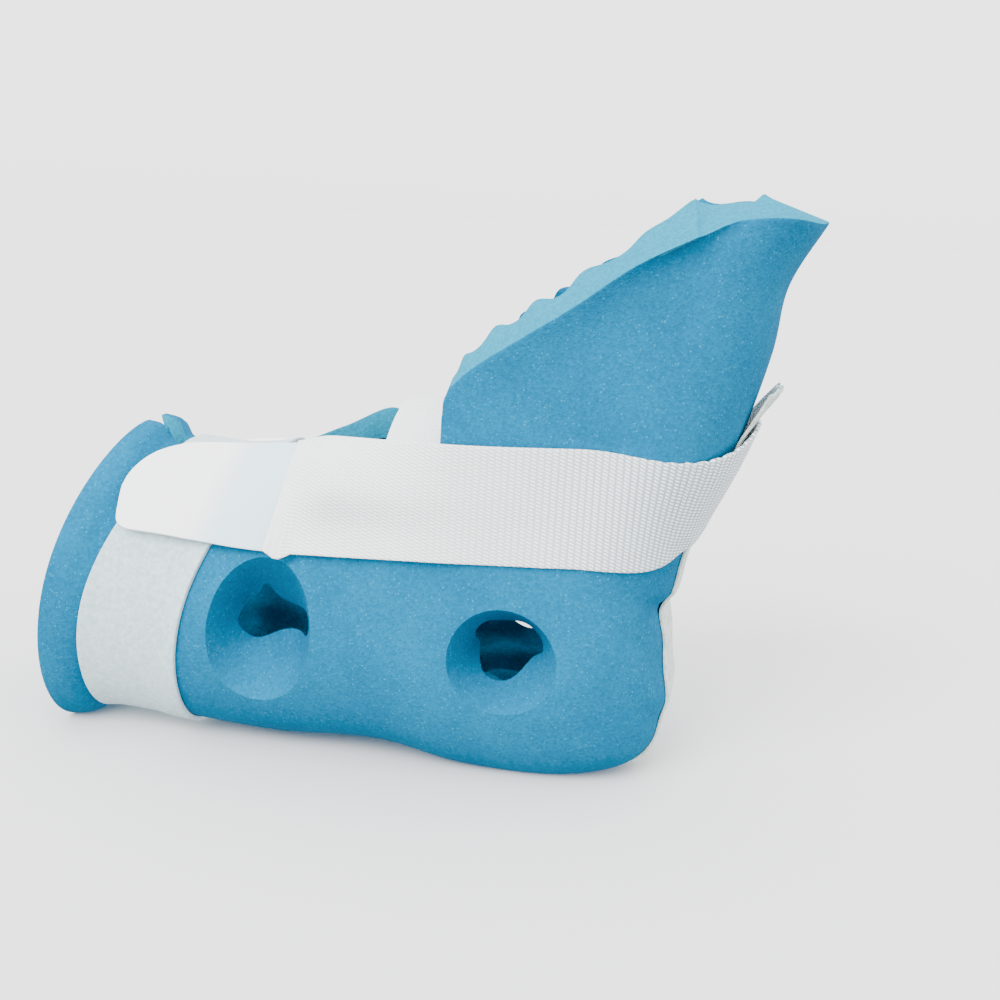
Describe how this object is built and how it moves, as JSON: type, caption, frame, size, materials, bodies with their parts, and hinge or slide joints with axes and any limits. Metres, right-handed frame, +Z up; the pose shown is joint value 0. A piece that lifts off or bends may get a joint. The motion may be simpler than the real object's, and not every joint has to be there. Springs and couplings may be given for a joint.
{
  "type": "foam foot positioner",
  "caption": "Convoluted foam boot that holds a resting foot upright with the heel free, closed by a calf strap and a sling strap round the sole.",
  "frame": {"origin": "on the ground under the middle of the object's box, the boot lying on its calf end and its heel", "axes": "+X along the leg from the calf end towards the toe end, +Z up, +Y towards the far side, so the near side of the picture faces -Y"},
  "size_m": [0.332, 0.1382, 0.2579],
  "materials": {
    "foam": "matte open-cell polyurethane foam",
    "loop_tape": "brushed loop tape",
    "webbing": "ribbed woven webbing",
    "hook_tape": "hook tape, smooth back"
  },
  "bodies": {
    "root": {"foam_boot": "foam", "calf_strap": "loop_tape", "sling_strap": "webbing", "hook_tab_near": "hook_tape", "hook_tab_far": "hook_tape", "instep_strap": "webbing", "heel_strip": "webbing"}
  },
  "joints": []
}
